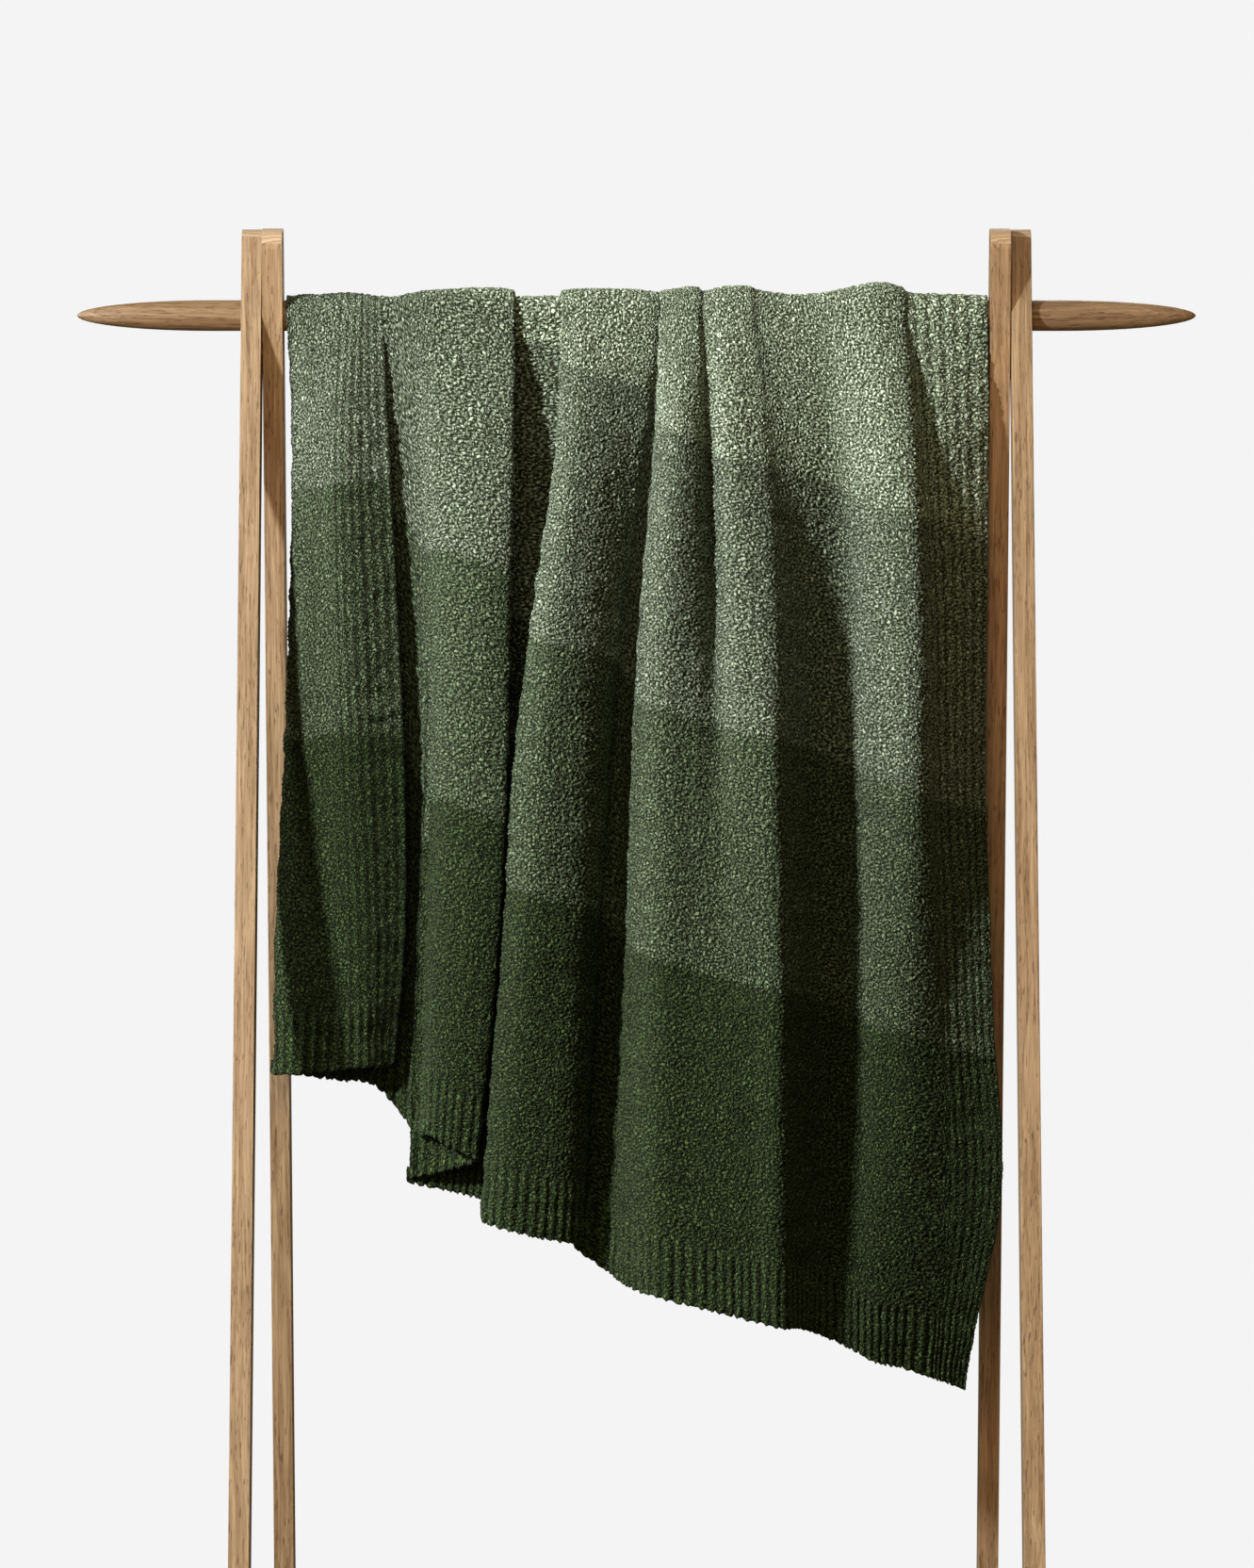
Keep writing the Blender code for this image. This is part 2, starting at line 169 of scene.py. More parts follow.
def build_end_grain():
    """Oak cut across: growth rings round a pith that lies outside the lath, along Z, in metres."""
    tree, given, result = new_group(
        "oak end grain",
        [
            ("Place", "Vector", None),
            ("Pith", "Vector", (0.03, -0.02, 0.0)),
            ("Pale", "Color", solid_colour(END_PALE)),
            ("Dark", "Color", solid_colour(END_DARK)),
        ],
        [("Colour", "Color"), ("Height", "Float")],
    )
    place = add(tree, "VectorMath", {"operation": "SUBTRACT"}, i0=given.outputs["Place"],
                i1=given.outputs["Pith"]).outputs[0]
    flat = add(tree, "VectorMath", {"operation": "MULTIPLY"}, i0=place, i1=(1.0, 1.0, 0.0)).outputs[0]
    far = add(tree, "VectorMath", {"operation": "LENGTH"}, i0=flat).outputs["Value"]
    uneven = add(tree, "TexNoise", {}, Vector=flat, Scale=160.0, Detail=2.0).outputs[0]
    ring = math_node(tree, "MULTIPLY_ADD", uneven, 0.0012, far)
    ring = math_node(tree, "FRACT", math_node(tree, "MULTIPLY", ring, 330.0))
    ring = spread_range(tree, ring, 0.0, 0.85)
    speck = add(tree, "TexNoise", {}, Vector=flat, Scale=1900.0, Detail=1.0).outputs[0]
    speck = spread_range(tree, speck, 0.5, 0.75)
    shade = math_node(tree, "MULTIPLY_ADD", speck, 0.4, math_node(tree, "MULTIPLY", ring, 0.75))
    colour = blend_colours(tree, shade, given.outputs["Pale"], given.outputs["Dark"])
    tree.links.new(colour, result.inputs["Colour"])
    tree.links.new(math_node(tree, "SUBTRACT", 1.0, shade), result.inputs["Height"])
    return tree


LONG_GRAIN = build_long_grain()
END_GRAIN = build_end_grain()


def oak(name, turn, offset, pith, end_from=0.55, tint=(1, 1, 1)):
    """Oak whose grain runs along Z once turned, on its own part of the board. Faces whose direction
    along the grain is over end_from show end grain, and the tint browns the whole piece."""
    material, tree, shader = new_material(name)
    where = add(tree, "TexCoord")
    # A point is turned back so that the lath stands straight, and moved to its own bit of board.
    straight = add(tree, "Mapping", {"vector_type": "POINT"}, Vector=where.outputs["Object"],
                   Rotation=turn).outputs[0]
    moved = add(tree, "VectorMath", {"operation": "ADD"}, i0=straight, i1=offset).outputs[0]
    facing = add(tree, "Mapping", {"vector_type": "POINT"}, Vector=where.outputs["Normal"],
                 Rotation=turn).outputs[0]
    up = add(tree, "SeparateXYZ", {}, Vector=facing).outputs["Z"]
    steep = math_node(tree, "ABSOLUTE", up)
    cut = spread_range(tree, steep, end_from - CUT_SOFT, end_from + CUT_SOFT)

    long_grain = add(tree, "Group", {"node_tree": LONG_GRAIN}, Place=moved,
                     Pale=solid_colour(np.multiply(OAK_PALE, tint)),
                     Middle=solid_colour(np.multiply(OAK_MID, tint)),
                     Dark=solid_colour(np.multiply(OAK_DARK, tint)))
    end_grain = add(tree, "Group", {"node_tree": END_GRAIN}, Place=straight, Pith=pith,
                    Pale=solid_colour(np.multiply(END_PALE, tint)),
                    Dark=solid_colour(np.multiply(END_DARK, tint)))
    colour = blend_colours(tree, cut, long_grain.outputs["Colour"], end_grain.outputs["Colour"])
    tree.links.new(colour, shader.inputs["Base Color"])
    dull = math_node(tree, "MULTIPLY_ADD", cut, 0.12, long_grain.outputs["Roughness"])
    tree.links.new(dull, shader.inputs["Roughness"])
    raised = math_node(tree, "MULTIPLY", end_grain.outputs["Height"], cut)
    flat = math_node(tree, "SUBTRACT", 1.0, cut)
    height = math_node(tree, "MULTIPLY_ADD", long_grain.outputs["Height"], flat, raised)
    bump = add(tree, "Bump", {}, Strength=0.35, Distance=0.0004, Height=height)
    tree.links.new(bump.outputs["Normal"], shader.inputs["Normal"])
    shader.inputs["Specular IOR Level"].default_value = 0.35
    return material


def finish_node(name, material):
    """Gives a CAD node its finished material."""
    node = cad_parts[name]
    node.data.materials.clear()
    node.data.materials.append(material)


LEG_TOP_FROM = 0.30  # the rounded tops show end grain well down their sides
for leg, lean, x, tint in (
    ("front_leg_left", LEG_LEAN, -0.424, (0.90, 0.89, 0.86)),
    ("front_leg_right", LEG_LEAN, 0.424, (0.95, 0.94, 0.92)),
    ("rear_leg_left", -LEG_LEAN, -0.401, (1.04, 1.02, 0.99)),
    ("rear_leg_right", -LEG_LEAN, 0.401, (0.98, 0.92, 0.86)),
):
    own_board = (7 * x, 3 * x + lean, 11 * x)
    own_pith = (x + 0.02, 0.045 + x / 20, 0)
    finish_node(leg, oak(leg + " oak", (lean, 0, 0), own_board, own_pith, LEG_TOP_FROM, tint))

# --- Hanging bar --------------------------------------------------------------------------
# One turned oak dowel, fixed in the outer legs, with long ends tapered to round tips.
# A little browner than the laths, and darker still all along: partly the oak's own tone, partly painted
# shade that stands in for the shade the legs cast on its right end.
ALONG_X = (0, math.radians(-90), 0)
BAR_BROWN_AND_SHADE = (0.72, 0.66, 0.60)
bar_oak = oak("hanging bar oak", ALONG_X, (0.31, 0.17, 0.4), (0.02, 0.02, 0), 0.93, BAR_BROWN_AND_SHADE)
finish_node("hanging_bar", bar_oak)

# --- Rungs --------------------------------------------------------------------------------
# Two plain oak dowels near the feet, tenoned and pinned into the legs of each frame.
RUNG_TINT = (0.9, 0.88, 0.86)
for rung, offset in (("front_rung", (0.5, 0.1, 0.9)), ("rear_rung", (0.2, 0.7, 0.3))):
    finish_node(rung, oak(rung + " oak", ALONG_X, offset, (0.015, 0.02, 0), 0.9, RUNG_TINT))

# --- Pins and stop pegs -------------------------------------------------------------------
# Small oak dowels, glued in and a little browner than the laths: they lock the bar and the rungs,
# and stop the frames' spread.
DOWEL_TINT = (0.78, 0.75, 0.72)
DOWELS = [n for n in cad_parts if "_pin_" in n or n.startswith("stop_peg")]
for number, dowel in enumerate(sorted(DOWELS)):
    offset = (0.1 * number, 0.3, 0.2)
    finish_node(dowel, oak(dowel + " oak", ALONG_X, offset, (0.01, 0.01, 0), 0.8, DOWEL_TINT))

# --- Pivot washers ------------------------------------------------------------------------
# Thin discs of pressed brown fibre between the legs of each pair, so that oak doesn't rub on oak.
FIBRE_BROWN = (0.20, 0.115, 0.060)
FIBRE_HAIRS = (0.30, 0.19, 0.11)


def fibre_washer():
    """Pressed fibre, finely mottled by its hairs and dull all over."""
    material, tree, shader = new_material("pressed fibre")
    where = add(tree, "TexCoord").outputs["Object"]
    hairs = add(tree, "TexNoise", {}, Vector=where, Scale=2600.0, Detail=3.0, Distortion=1.5).outputs[0]
    shade = spread_range(tree, hairs, 0.35, 0.65, 0.0, 0.55)
    colour = blend_colours(tree, shade, solid_colour(FIBRE_BROWN), solid_colour(FIBRE_HAIRS))
    tree.links.new(colour, shader.inputs["Base Color"])
    tree.links.new(math_node(tree, "MULTIPLY_ADD", hairs, 0.2, 0.7), shader.inputs["Roughness"])
    bump = add(tree, "Bump", {}, Strength=0.4, Distance=0.0001, Height=hairs)
    tree.links.new(bump.outputs["Normal"], shader.inputs["Normal"])
    return material


pressed_fibre = fibre_washer()
for washer in ("pivot_washer_left", "pivot_washer_right"):
    finish_node(washer, pressed_fibre)

# --- Floor glides -------------------------------------------------------------------------
# Round feet of dark moulded plastic, pressed into the bottom of each leg by their stems.
GLIDE_BROWN = (0.052, 0.045, 0.040)
GLIDE_SCUFFS = (0.10, 0.092, 0.085)


def moulded_plastic():
    """Dark plastic with a fine spark texture from its mould, paler where it is scuffed."""
    material, tree, shader = new_material("moulded glide plastic")
    where = add(tree, "TexCoord").outputs["Object"]
    sparks = add(tree, "TexNoise", {}, Vector=where, Scale=3000.0, Detail=2.0).outputs[0]
    scuffs = add(tree, "TexNoise", {}, Vector=where, Scale=240.0, Detail=4.0, Roughness=0.7).outputs[0]
    worn = spread_range(tree, scuffs, 0.52, 0.75)
    colour = blend_colours(tree, worn, solid_colour(GLIDE_BROWN), solid_colour(GLIDE_SCUFFS))
    tree.links.new(colour, shader.inputs["Base Color"])
    tree.links.new(math_node(tree, "MULTIPLY_ADD", worn, 0.25, 0.42), shader.inputs["Roughness"])
    bump = add(tree, "Bump", {}, Strength=0.25, Distance=0.0001, Height=sparks)
    tree.links.new(bump.outputs["Normal"], shader.inputs["Normal"])
    return material


glide_plastic = moulded_plastic()
for glide in [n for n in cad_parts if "_glide_" in n]:
    finish_node(glide, glide_plastic)

# --- Knitted throw ------------------------------------------------------------------------
# One sheet of nubbly chenille knit, 1.27 m by 1.52 m, with ribbed borders and hems, hung over the bar
# in deep loose folds. Its five stepped bands go from dark green at the low hem to light sage.
THROW_WIDTH = 1.270
THROW_LENGTH = 1.520
KNIT_THICK = 0.005
STITCH = 0.0018  # spacing of the sheet's own points
LOWEST_DROP = 1.25  # a little below the lowest hem
DROP_STEP = 0.01
NUB_PITCH = 0.0047
NUB_HEIGHT = 0.0013
LUMP_PITCH = 0.016
LUMP_HEIGHT = 0.0004
SLACK_PITCH = 0.110
SLACK_HEIGHT = 0.0010
RIB_PITCH = 0.0096
CORD_ROUNDNESS = 0.7
RIB_FADE = 0.004  # where ribbing goes over into plain knit
BORDER_RIB_HEIGHT = 0.0012
HEM_RIB_HEIGHT = 0.0030
BORDER_WIDTH = 0.061
HEM_DEPTH = 0.064
TOOTH_DROP = 0.0026  # the hem's cords end this much lower than the grooves between them
TOOTH_NUBS = 0.0012
TOOTH_FADE = 0.006
BAND_ENDS = (0.364, 0.640, 0.940, 1.220)  # along the cloth, from the front hem
ROLLED_UNDER = (0.003, 0.007, 0.012)  # how far back beneath each edge its last rows lie
TURN_PLACE = 0.128  # how far in from its left edge the throw is turned over
TURN_FADE = 0.01
ROLL_STEP = 0.0025  # between rows of a rolled edge, on the flat cloth
BACK_SPREAD = 0.80  # the folds are a little shallower behind the bar
# The right border swells out sideways low down. BULGE_DROP is where it does so most, and
# BULGE_START is the place across the cloth where it begins.
BULGE_OUT = 0.026
BULGE_DROP = 0.97
BULGE_FADE = 0.15
BULGE_START = 1.13
bar_low, bar_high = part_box("hanging_bar")
BAR_Z = (bar_low.z + bar_high.z) / 2

# Each fold line runs from the bar down to the front hem. It has how far below the bar its hem hangs,
# how far across from the bar's middle it lies, and how far out from the bar's upright plane. The last
# two are given at LEVELS below the bar and then at the hem, and all are in millimetres. The lines go
# across the cloth from its left edge, which is turned over to the front.
LEVELS = (0, 120, 320, 500, 700)
FOLD_LINES = (
    ("turned-over edge", 823, (-281, -274, -263, -255, -255, -266), (23, 34, 44, 50, 56, 56)),
    ("its bright ridge", 826, (-322, -327, -324, -317, -308, -308), (27, 56, 74, 80, 82, 80)),
    ("its middle", 830, (-350, -350, -349, -345, -343, -350), (25, 49, 66, 74, 78, 76)),
    ("near the turn", 832, (-374, -370, -371, -376, -384, -386), (24, 38, 53, 64, 70, 70)),
    ("left turn", 832, (-386, -381, -383, -389, -398, -399), (21, 26, 40, 52, 62, 64)),
    ("behind, left", 834, (-376, -367, -369, -375, -384, -382), (19, 18, 18, 22, 28, 32)),
    ("behind, middle", 840, (-328, -323, -322, -325, -328, -330), (19, 17, 17, 20, 26, 32)),
    ("behind, right", 856, (-268, -264, -258, -253, -260, -276), (19, 18, 17, 18, 24, 30)),
    ("second fold, left", 892, (-248, -242, -236, -234, -238, -247), (22, 26, 24, 26, 32, 38)),
    ("second fold, crest", 900, (-216, -212, -206, -206, -214, -224), (27, 50, 68, 74, 76, 72)),
    ("second fold, right", 914, (-167, -168, -168, -172, -181, -200), (28, 56, 80, 84, 84, 76)),
    ("second fold, edge", 926, (-136, -137, -141, -144, -154, -176), (26, 52, 72, 78, 76, 68)),
    ("tucked back", 937, (-167, -170, -174, -177, -188, -203), (23, 40, 54, 60, 60, 55)),
    ("tucked turn", 951, (-229, -228, -230, -235, -243, -251), (21, 27, 30, 38, 42, 44)),
    ("under the tuck", 960, (-193, -194, -195, -198, -205, -214), (19, 19, 20, 26, 32, 34)),
    ("dark gap", 971, (-115, -120, -132, -139, -149, -170), (19, 12, 10, 12, 18, 28)),
    ("hidden turn", 982, (-62, -60, -83, -99, -116, -135), (21, 14, 18, 24, 28, 34)),
    ("third fold, edge", 993, (-80, -83, -110, -132, -145, -168), (24, 46, 68, 74, 74, 70)),
    ("third fold, left", 1000, (-64, -69, -94, -112, -125, -148), (27, 62, 90, 97, 95, 88)),
    ("third fold, crest", 1010, (-32, -40, -63, -77, -90, -110), (26, 56, 84, 92, 90, 84)),
    ("third fold, right", 1017, (7, -6, -32, -44, -57, -74), (25, 40, 60, 68, 70, 68)),
    ("third fold, wall", 1021, (21, 8, -21, -35, -47, -62), (24, 33, 44, 48, 50, 50)),
    ("channel, left", 1026, (25, 13, -15, -31, -44, -66), (22, 26, 24, 24, 26, 30)),
    ("channel, right", 1052, (29, 23, 5, -8, -15, -29), (22, 25, 22, 22, 26, 32)),
    ("fourth fold, edge", 1064, (29, 27, 9, 1, -4, -9), (25, 46, 58, 62, 64, 62)),
    ("fourth fold, crest", 1074, (46, 45, 32, 25, 23, 20), (28, 64, 86, 95, 100, 99)),
    ("fourth fold, right", 1085, (66, 67, 65, 63, 63, 63), (28, 54, 72, 90, 98, 98)),
    ("pleat line", 1093, (73, 77, 85, 89, 93, 93), (24, 34, 50, 83, 96, 94)),
    ("fifth fold", 1101, (96, 99, 109, 117, 124, 125), (30, 66, 92, 101, 100, 91)),
    ("ridge", 1109, (124, 133, 148, 152, 157, 158), (29, 58, 92, 106, 103, 89)),
    ("foot of the ridge", 1111, (131, 147, 163, 167, 172, 176), (26, 50, 68, 70, 68, 62)),
    ("wide hollow", 1119, (169, 181, 193, 195, 198, 200), (21, 35, 34, 16, 12, 36)),
    ("hollow, right", 1136, (204, 219, 238, 238, 239, 236), (22, 26, 20, 20, 20, 28)),
    ("sixth fold, left", 1152, (233, 247, 263, 265, 270, 265), (29, 50, 68, 64, 46, 20)),
    ("sixth fold, crest", 1158, (265, 276, 293, 296, 301, 291), (34, 66, 88, 87, 54, 6)),
    ("sixth fold, edge", 1170, (291, 302, 315, 317, 327, 322), (28, 60, 80, 76, 40, -10)),
    ("foot of its edge", 1172, (298, 310, 323, 326, 334, 328), (23, 42, 52, 46, 30, -13)),
    ("right border", 1178, (337, 341, 350, 352, 361, 344), (22, 32, 34, 28, 14, -20)),
    ("right edge", 1183, (385, 386, 384, 382, 388, 359), (20, 13, 10, 8, 2, -26)),
)


def smooth_line(at, known_at, known):
    """A curve through the known points, read at any places: a cubic with even slopes at its points."""
    known_at, known = np.asarray(known_at, float), np.asarray(known, float)
    slope = np.gradient(known, known_at)
    i = np.clip(np.searchsorted(known_at, at) - 1, 0, len(known_at) - 2)
    step = known_at[i + 1] - known_at[i]
    t = np.clip((at - known_at[i]) / step, 0, 1)
    left = known[i] * (1 + 2 * t) * (1 - t) ** 2 + slope[i] * step * t * (1 - t) ** 2
    right = known[i + 1] * t * t * (3 - 2 * t) - slope[i + 1] * step * t * t * (1 - t)
    return left + right


def sheet_through_folds():
    """Across and out, in metres, by drop below the bar and by place across the cloth; and each hem."""
    drops = np.arange(0, LOWEST_DROP, DROP_STEP)
    across_lines, out_lines, hems = [], [], []
    for _, hem, across, out in FOLD_LINES:
        at = [*LEVELS, hem]
        across_lines.append(smooth_line(drops * 1000, at, across) / 1000)
        out_lines.append(smooth_line(drops * 1000, at, out) / 1000)
        hems.append(hem / 1000)
    across_lines, out_lines = np.array(across_lines), np.array(out_lines)
    gaps = np.hypot(np.diff(across_lines, axis=0), np.diff(out_lines, axis=0))
    place = np.concatenate([[0], np.cumsum(gaps.mean(axis=1))])
    place *= THROW_WIDTH / place[-1]
    columns = np.linspace(0, THROW_WIDTH, round(THROW_WIDTH / STITCH) + 1)
    across = np.array([smooth_line(columns, place, row) for row in across_lines.T])
    out = np.array([smooth_line(columns, place, row) for row in out_lines.T])
    return drops, columns, across, out, smooth_line(columns, place, hems)


def read_rows(table, drops, at):
    """The table, which has a row for each drop, read at each column's own drops."""
    step = drops[1] - drops[0]
    low = np.clip((at / step).astype(int), 0, len(drops) - 2)
    share = np.clip(at / step - low, 0, 1)
    column = np.arange(table.shape[1])[None, :]
    return table[low, column] * (1 - share) + table[low + 1, column] * share


def hang_cloth():
    """The middle of the cloth as a grid of points, rows from the front hem to the back hem."""
    drops, columns, across, out, hems = sheet_through_folds()
    along = np.linspace(0, THROW_LENGTH, round(THROW_LENGTH / STITCH) + 1)[:, None]
    rise = out[0]
    over = math.pi * rise
    passed = along - hems
    front_drop = np.maximum(hems - along, 0)
    back_drop = np.maximum(passed - over, 0)
    behind = back_drop > 0
    on_top = (passed > 0) & ~behind
    drop = np.where(behind, back_drop, front_drop)
    x = read_rows(across, drops, drop)
    bulge = BULGE_OUT * np.exp(-(((drop - BULGE_DROP) / BULGE_FADE) ** 2))
    x += bulge * np.clip((columns - BULGE_START) / (THROW_WIDTH - BULGE_START), 0, 1)
    reach = read_rows(out, drops, drop)
    reach = np.where(behind, rise + (reach - rise) * BACK_SPREAD, reach)
    turn = np.clip(passed / over, 0, 1) * math.pi
    y = np.where(on_top, -rise * np.cos(turn), np.where(behind, reach, -reach))
    z = BAR_Z + np.where(on_top, rise * np.sin(turn), -drop)
    return columns, along[:, 0], np.stack([x, y, z], axis=2)


def surface_normals(points):
    """The outward direction at each point of a grid."""
    down, sideways = np.gradient(points, axis=0), np.gradient(points, axis=1)
    normal = np.cross(sideways, down)
    return normal / np.maximum(np.linalg.norm(normal, axis=2, keepdims=True), 1e-12)


def woolly_noise(shape, wavelength, spread, stretch, seed):
    """Random hills of about one size, longer along the cloth than across, from -1 to 1."""
    rng = np.random.default_rng(seed)
    field = np.fft.rfft2(rng.standard_normal(shape))
    along = np.fft.fftfreq(shape[0], STITCH)[:, None] * stretch
    across = np.fft.rfftfreq(shape[1], STITCH)[None, :]
    frequency = np.hypot(along, across) * wavelength
    field *= np.exp(-(((frequency - 1) / spread) ** 2))
    hills = np.fft.irfft2(field, shape)
    return np.tanh(hills / hills.std() * 0.9)


def cord_rounds(columns):
    """The round cords of the ribbing in section, from 0 in their grooves to 1 along their tops."""
    return np.abs(np.sin(math.pi * columns[None, :] / RIB_PITCH)) ** CORD_ROUNDNESS


def rib_height(columns, along):
    """The cords, where the sheet is ribbed, and where that ribbing is a hem and not a side border."""
    side = np.minimum(columns, THROW_WIDTH - columns)[None, :]
    end = np.minimum(along, THROW_LENGTH - along)[:, None]
    inside = np.minimum(side - BORDER_WIDTH, end - HEM_DEPTH)
    ribbed = np.clip(0.5 - inside / RIB_FADE, 0, 1)
    on_hem = (end < HEM_DEPTH) & (side > BORDER_WIDTH / 2)
    return cord_rounds(columns), ribbed, on_hem


def hem_teeth(columns, along, nubs):
    """How far each point near a hem hangs lower or higher, so that the cords end in small teeth."""
    end = np.minimum(along, THROW_LENGTH - along)[:, None]
    teeth = TOOTH_DROP * (cord_rounds(columns) - 0.5)
    return -np.exp(-end / TOOTH_FADE) * (teeth + TOOTH_NUBS * nubs)


def throw_points():
    """The sheet's face with the cords, nubs and slack of the knit, and how raised the yarn is there."""
    columns, along, points = hang_cloth()
    normal = surface_normals(points)
    shape = points.shape[:2]
    cords, ribbed, on_hem = rib_height(columns, along)
    nubs = woolly_noise(shape, NUB_PITCH, 0.55, 0.72, 5)
    lumps = woolly_noise(shape, LUMP_PITCH, 0.5, 0.9, 6)
    slack = woolly_noise(shape, SLACK_PITCH, 0.6, 0.4, 7)
    height = NUB_HEIGHT * nubs * (1 - 0.40 * ribbed) + LUMP_HEIGHT * lumps + SLACK_HEIGHT * slack
    height += ribbed * np.where(on_hem, HEM_RIB_HEIGHT, BORDER_RIB_HEIGHT) * (cords - 0.6)
    height += KNIT_THICK / 2
    points = points + normal * height[..., None]
    points[..., 2] += hem_teeth(columns, along, nubs)
    # how raised the yarn is, from 0 deep in a gap to 1 on a tip: the knit's colour uses it for painted
    # highlight on tips and cord tops and painted shade in gaps and the grooves between cords
    raised = 0.5 + 0.44 * nubs * (1 - 0.3 * ribbed)
    raised = raised + ribbed * np.where(on_hem, 0.45, 0.30) * (cords - 0.65)
    return columns, along, points, normal, raised


def turned_edge(points, normal, outward):
    """Rows that roll the sheet's edge round its own thickness and a little way back beneath it."""
    half = KNIT_THICK / 2
    turns = np.linspace(0.25, 1, 4) * math.pi
    rows = [points + outward * half * math.sin(a) - normal * half * (1 - math.cos(a)) for a in turns]
    rows += [rows[-1] - outward * step for step in ROLLED_UNDER]
    return np.array(rows)


def edge_side(columns):
    """Which way the edges roll: always out of sight, so the other way where the throw is turned over."""
    return np.tanh((columns - TURN_PLACE) / TURN_FADE)[None, :, None]


def with_turned_edges(points, normal):
    """The grid with its four edges rolled under, hems first and then the sides."""
    for axis in (0, 1):
        p, n = (points, normal) if axis == 0 else (points.swapaxes(0, 1), normal.swapaxes(0, 1))
        parts, directions = [], []
        for edge, inner in ((0, 3), (-1, -4)):
            outward = p[edge] - p[inner]
            outward /= np.maximum(np.linalg.norm(outward, axis=1, keepdims=True), 1e-9)
            parts.append(turned_edge(p[edge], n[edge], outward))
            directions.append(np.repeat(n[edge][None], len(parts[-1]), axis=0))
        p = np.concatenate([parts[0][::-1], p, parts[1]])
        n = np.concatenate([directions[0], n, directions[1]])
        points, normal = (p, n) if axis == 0 else (p.swapaxes(0, 1), n.swapaxes(0, 1))
    return points


def grid_mesh(name, points, places):
    """A mesh of quads over a grid of points, with places across and along the cloth as its UV map."""
    rows, columns = points.shape[:2]
    index = np.arange(rows * columns).reshape(rows, columns)
    corners = np.stack([index[:-1, :-1], index[1:, :-1], index[1:, 1:], index[:-1, 1:]], axis=2)
    corners = corners.reshape(-1)
    mesh = bpy.data.meshes.new(name)
    mesh.vertices.add(rows * columns)
    mesh.vertices.foreach_set("co", points.reshape(-1).astype(np.float32))
    mesh.loops.add(len(corners))
    mesh.loops.foreach_set("vertex_index", corners.astype(np.int32))
    mesh.polygons.add(len(corners) // 4)
    mesh.polygons.foreach_set("loop_start", np.arange(0, len(corners), 4, dtype=np.int32))
    mesh.uv_layers.new(name="cloth metres")
    flat = places.reshape(-1, 2)[corners]
    mesh.uv_layers[0].uv.foreach_set("vector", flat.reshape(-1).astype(np.float32))
    mesh.update(calc_edges=True)
    mesh.validate()
    mesh.shade_smooth()
    return mesh


def knit_places(columns, along, extra):
    """Where each point lies on the flat cloth; the rolled edges go on a little past it."""
    beyond = np.arange(1, extra + 1) * ROLL_STEP
    wide = np.concatenate([-beyond[::-1], columns, columns[-1] + beyond])
    long = np.concatenate([-beyond[::-1], along, along[-1] + beyond])
    return np.stack(np.broadcast_arrays(wide[None, :], long[:, None]), axis=2)


# From the front hem to the back hem.
BAND_GREENS = (
    (0.0300, 0.0500, 0.0140),
    (0.0780, 0.1080, 0.0550),
    (0.1560, 0.1930, 0.1280),
    (0.2600, 0.3150, 0.2150),
    (0.3300, 0.3850, 0.2900),
)
BAND_SOFT = 0.0015  # half the blend between two bands, as a share of the length


def build_nubs():
    """Short worm-like nubs of chenille yarn, a few millimetres long, with gaps between them, which the
    knit's colour paints in shade.
    """
    tree, given, result = new_group(
        "chenille nubs",
        [("Place", "Vector", None), ("Size", "Float", 0.0029)],
        [("Nub", "Float"), ("Gap", "Float"), ("Tint", "Float")],
    )
    size = add(tree, "CombineXYZ", {}, X=given.outputs["Size"],
               Y=math_node(tree, "MULTIPLY", given.outputs["Size"], 1.5), Z=1.0).outputs[0]
    place = add(tree, "VectorMath", {"operation": "DIVIDE"}, i0=given.outputs["Place"], i1=size).outputs[0]
    wobble = add(tree, "TexNoise", {}, Vector=place, Scale=0.55, Detail=2.0).outputs["Color"]
    place = add(tree, "VectorMath", {"operation": "MULTIPLY_ADD"}, i0=wobble, i1=(2.6, 2.6, 0.0),
                i2=place).outputs[0]
    cells = add(tree, "TexVoronoi", {"voronoi_dimensions": "2D", "feature": "DISTANCE_TO_EDGE"},
                Vector=place, Scale=1.0)
    colours = add(tree, "TexVoronoi", {"voronoi_dimensions": "2D"}, Vector=place, Scale=1.0)
    nub = spread_range(tree, cells.outputs["Distance"], 0.04, 0.40)
    tree.links.new(nub, result.inputs["Nub"])
    tree.links.new(spread_range(tree, cells.outputs["Distance"], 0.22, 0.05), result.inputs["Gap"])
    tint = add(tree, "SeparateXYZ", {}, Vector=colours.outputs["Color"]).outputs["X"]
    tree.links.new(tint, result.inputs["Tint"])
    return tree


